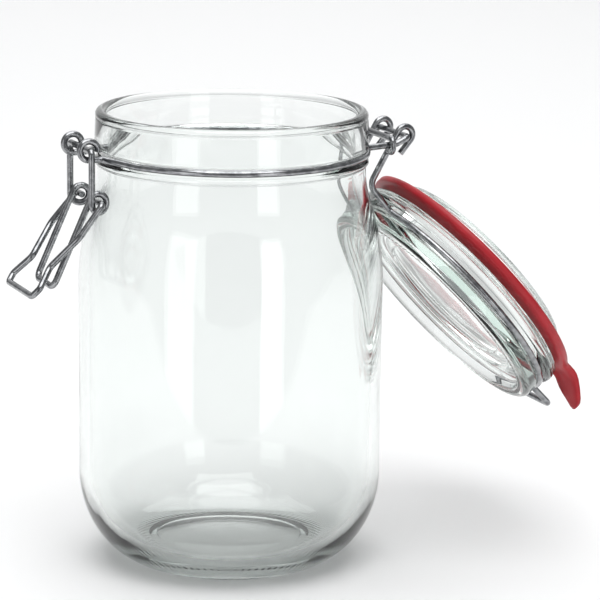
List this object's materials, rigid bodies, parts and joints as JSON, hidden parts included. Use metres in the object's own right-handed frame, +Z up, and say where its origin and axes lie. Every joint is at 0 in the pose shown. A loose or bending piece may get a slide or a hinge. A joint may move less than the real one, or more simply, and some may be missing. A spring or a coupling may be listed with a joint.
{
  "type": "bail clamp jar",
  "caption": "Round one-litre preserving jar with a rubber-sealed glass lid on a wire hinge and a lever-and-hook wire clamp, standing open.",
  "frame": {"origin": "on the jar's upright axis, in the plane of the ring it stands on", "axes": "+Z up along the jar's axis; -Y towards the clamp; +Y towards the hinge, where the open lid hangs; +X to the side that the gasket's tab is nearer to"},
  "size_m": [0.1086, 0.2121, 0.1632],
  "materials": {
    "glass": "clear with a faint green-grey tint, smooth and glossy",
    "wire": "bright galvanised wire, smooth and shiny",
    "rubber": "red natural rubber, satin"
  },
  "bodies": {
    "jar_body": {"jar": "glass", "neck_wire": "wire", "hinge_tie": "wire"},
    "lid_assembly": {"lid": "glass", "gasket": "rubber", "lid_wire": "wire"},
    "lever": {"clamp_lever": "wire"},
    "hook": {"clamp_hook": "wire"}
  },
  "joints": [
    {"name": "lid_hinge", "type": "hinge", "parent": "jar_body", "child": "lid_assembly", "pos_m": [0, 0.0634, 0.1513], "axis": [1, 0, 0], "range_deg": [0, 230]},
    {"name": "lever_pivot", "type": "hinge", "parent": "jar_body", "child": "lever", "pos_m": [0, -0.0565, 0.1527], "axis": [1, 0, 0], "range_deg": [-168, 0]},
    {"name": "hook_pivot", "type": "hinge", "parent": "lever", "child": "hook", "pos_m": [0, -0.05345, 0.1345], "axis": [1, 0, 0], "range_deg": [-134.7, 0]}
  ]
}
